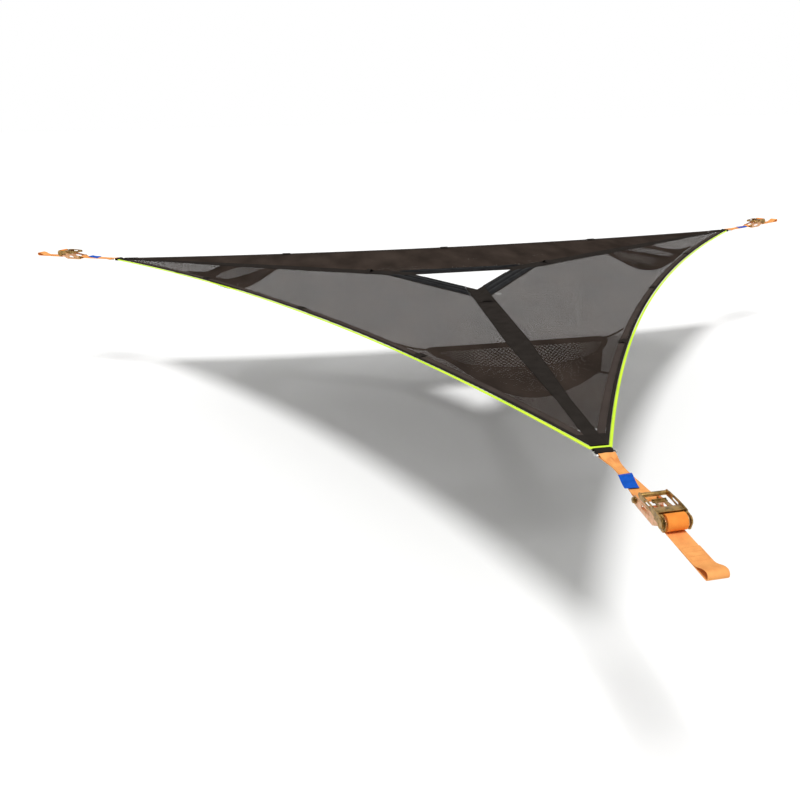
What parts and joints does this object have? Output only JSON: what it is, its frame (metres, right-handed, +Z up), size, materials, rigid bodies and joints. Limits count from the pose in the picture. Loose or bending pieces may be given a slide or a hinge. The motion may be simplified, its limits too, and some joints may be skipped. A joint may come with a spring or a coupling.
{
  "type": "triangle hammock",
  "caption": "Triangular mesh hammock with an open central hatch, storage nets underneath, and at each corner a ring, a sling, a ratchet and a tree strap.",
  "frame": {"origin": "middle of the floor, in the plane of the mesh, where the three strap lines meet", "axes": "+Z up; -Y to the front corner; +X to the right, along the rear edge"},
  "size_m": [5.3344, 4.6202, 0.21],
  "materials": {
    "black_mesh": "fine woven polyester mesh, see-through",
    "black_webbing": "flat woven webbing, matt",
    "black_netting": "knitted netting, see-through",
    "lime_binding": "bright woven tape",
    "zinc_steel": "yellow-passivated zinc plating",
    "bright_steel": "bright zinc plating",
    "orange_webbing": "woven polyester webbing with a slight sheen",
    "blue_label": "coated blank tag"
  },
  "bodies": {
    "hammock": {"floor_panel_front_right": "black_mesh", "edge_hem_front_right": "black_webbing", "edge_binding_front_right": "lime_binding", "hatch_edge_front_right": "black_webbing", "floor_panel_rear": "black_mesh", "edge_hem_rear": "black_webbing", "edge_binding_rear": "lime_binding", "hatch_edge_rear": "black_webbing", "floor_panel_front_left": "black_mesh", "edge_hem_front_left": "black_webbing", "edge_binding_front_left": "lime_binding", "hatch_edge_front_left": "black_webbing", "gear_ring": "bright_steel", "radial_band_front": "black_webbing", "gear_loop_front": "black_webbing", "storage_net_front": "black_netting", "corner_tab_front": "black_webbing", "corner_ring_front": "bright_steel", "sling_front": "orange_webbing", "label_front": "blue_label", "tree_strap_front": "orange_webbing", "ratchet_frame_front": "zinc_steel", "anchor_bolt_front": "bright_steel", "radial_band_right": "black_webbing", "gear_loop_right": "black_webbing", "storage_net_right": "black_netting", "corner_tab_right": "black_webbing", "corner_ring_right": "bright_steel", "sling_right": "orange_webbing", "label_right": "blue_label", "tree_strap_right": "orange_webbing", "ratchet_frame_right": "zinc_steel", "anchor_bolt_right": "bright_steel", "radial_band_left": "black_webbing", "gear_loop_left": "black_webbing", "storage_net_left": "black_netting", "corner_tab_left": "black_webbing", "corner_ring_left": "bright_steel", "sling_left": "orange_webbing", "label_left": "blue_label", "tree_strap_left": "orange_webbing", "ratchet_frame_left": "zinc_steel", "anchor_bolt_left": "bright_steel"},
    "handle_front": {"handle_front": "zinc_steel"},
    "spool_front": {"spool_front": "zinc_steel", "wound_webbing_front": "orange_webbing"},
    "drive_pawl_front": {"drive_pawl_front": "zinc_steel"},
    "lock_pawl_front": {"lock_pawl_front": "zinc_steel"},
    "handle_right": {"handle_right": "zinc_steel"},
    "spool_right": {"spool_right": "zinc_steel", "wound_webbing_right": "orange_webbing"},
    "drive_pawl_right": {"drive_pawl_right": "zinc_steel"},
    "lock_pawl_right": {"lock_pawl_right": "zinc_steel"},
    "handle_left": {"handle_left": "zinc_steel"},
    "spool_left": {"spool_left": "zinc_steel", "wound_webbing_left": "orange_webbing"},
    "drive_pawl_left": {"drive_pawl_left": "zinc_steel"},
    "lock_pawl_left": {"lock_pawl_left": "zinc_steel"}
  },
  "joints": [
    {"name": "handle_front_swing", "type": "hinge", "parent": "hammock", "child": "handle_front", "pos_m": [0.01727, -2.86167, 0.022], "axis": [0.9993, 0.0384, 0], "range_deg": [0, 180]},
    {"name": "spool_front_turn", "type": "hinge", "parent": "hammock", "child": "spool_front", "pos_m": [0.01727, -2.86167, 0.022], "axis": [0.9993, 0.0384, 0], "continuous": true},
    {"name": "drive_pawl_front_pull", "type": "slide", "parent": "handle_front", "child": "drive_pawl_front", "axis": [-0.0384, 0.9993, 0], "range_m": [0, 0.006], "stiffness_N_per_m": 400, "springref_m": -0.008},
    {"name": "lock_pawl_front_pull", "type": "slide", "parent": "hammock", "child": "lock_pawl_front", "axis": [-0.0384, 0.9993, 0], "range_m": [0, 0.006], "stiffness_N_per_m": 400, "springref_m": -0.008},
    {"name": "handle_right_swing", "type": "hinge", "parent": "hammock", "child": "handle_right", "pos_m": [2.47857, 1.431, 0.022], "axis": [-0.5, 0.866, 0], "range_deg": [0, 180]},
    {"name": "spool_right_turn", "type": "hinge", "parent": "hammock", "child": "spool_right", "pos_m": [2.47857, 1.431, 0.022], "axis": [-0.5, 0.866, 0], "continuous": true},
    {"name": "drive_pawl_right_pull", "type": "slide", "parent": "handle_right", "child": "drive_pawl_right", "axis": [-0.866, -0.5, 0], "range_m": [0, 0.006], "stiffness_N_per_m": 400, "springref_m": -0.008},
    {"name": "lock_pawl_right_pull", "type": "slide", "parent": "hammock", "child": "lock_pawl_right", "axis": [-0.866, -0.5, 0], "range_m": [0, 0.006], "stiffness_N_per_m": 400, "springref_m": -0.008},
    {"name": "handle_left_swing", "type": "hinge", "parent": "hammock", "child": "handle_left", "pos_m": [-2.47857, 1.431, 0.022], "axis": [-0.5, -0.866, 0], "range_deg": [0, 180]},
    {"name": "spool_left_turn", "type": "hinge", "parent": "hammock", "child": "spool_left", "pos_m": [-2.47857, 1.431, 0.022], "axis": [-0.5, -0.866, 0], "continuous": true},
    {"name": "drive_pawl_left_pull", "type": "slide", "parent": "handle_left", "child": "drive_pawl_left", "axis": [0.866, -0.5, 0], "range_m": [0, 0.006], "stiffness_N_per_m": 400, "springref_m": -0.008},
    {"name": "lock_pawl_left_pull", "type": "slide", "parent": "hammock", "child": "lock_pawl_left", "axis": [0.866, -0.5, 0], "range_m": [0, 0.006], "stiffness_N_per_m": 400, "springref_m": -0.008}
  ]
}
